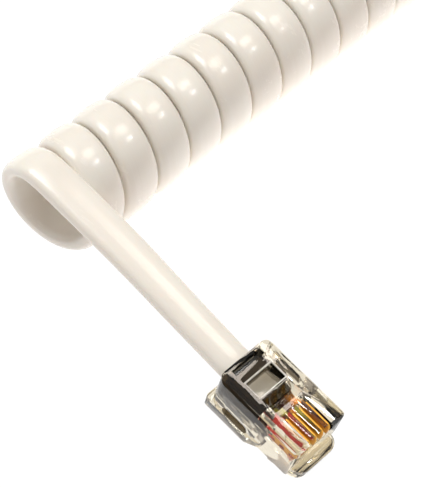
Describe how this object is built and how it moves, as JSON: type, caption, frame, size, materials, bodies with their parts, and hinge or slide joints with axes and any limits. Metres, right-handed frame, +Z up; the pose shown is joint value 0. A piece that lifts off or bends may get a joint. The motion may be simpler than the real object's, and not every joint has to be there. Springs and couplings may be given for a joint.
{
  "type": "coiled telephone handset cord",
  "caption": "Coiled ivory telephone handset cord of flat jacketed cable, with a straight lead and a clear modular plug with a sprung latch tab at each end.",
  "frame": {"origin": "middle of the two plugs' footprint, on the plane on which the cord and the plugs lie", "axes": "+X along the coil from plug a to plug b, +Y from the plugs towards the coil, +Z up"},
  "size_m": [0.187, 0.0546, 0.0135],
  "materials": {
    "ivory_jacket": "satin",
    "clear_plastic": "clear",
    "brass_contact": "gold-plated",
    "red_wire": "gloss",
    "green_wire": "gloss",
    "black_wire": "gloss",
    "yellow_wire": "gloss"
  },
  "bodies": {
    "root": {"plug_a_housing": "clear_plastic", "plug_a_jacket_clamp": "clear_plastic", "plug_a_wire_clamp": "clear_plastic", "plug_a_contact_1": "brass_contact", "plug_a_contact_2": "brass_contact", "plug_a_contact_3": "brass_contact", "plug_a_contact_4": "brass_contact", "plug_a_wire_red": "red_wire", "plug_a_wire_green": "green_wire", "plug_a_wire_black": "black_wire", "plug_a_wire_yellow": "yellow_wire", "plug_b_housing": "clear_plastic", "plug_b_jacket_clamp": "clear_plastic", "plug_b_wire_clamp": "clear_plastic", "plug_b_contact_1": "brass_contact", "plug_b_contact_2": "brass_contact", "plug_b_contact_3": "brass_contact", "plug_b_contact_4": "brass_contact", "plug_b_wire_yellow": "yellow_wire", "plug_b_wire_black": "black_wire", "plug_b_wire_green": "green_wire", "plug_b_wire_red": "red_wire", "cord_coil": "ivory_jacket", "cord_lead_a": "ivory_jacket", "cord_lead_b": "ivory_jacket"},
    "latch_a": {"plug_a_latch": "clear_plastic"},
    "latch_b": {"plug_b_latch": "clear_plastic"}
  },
  "joints": [
    {"name": "latch_a_hinge", "type": "hinge", "parent": "root", "child": "latch_a", "pos_m": [-0.08964, -0.00366, 0.00065], "axis": [1, 0, 0], "range_deg": [0, 10], "stiffness_Nm_per_rad": 0.15},
    {"name": "latch_b_hinge", "type": "hinge", "parent": "root", "child": "latch_b", "pos_m": [0.08964, -0.00841, 0.00555], "axis": [-1, 0, 0], "range_deg": [0, 10], "stiffness_Nm_per_rad": 0.15}
  ]
}
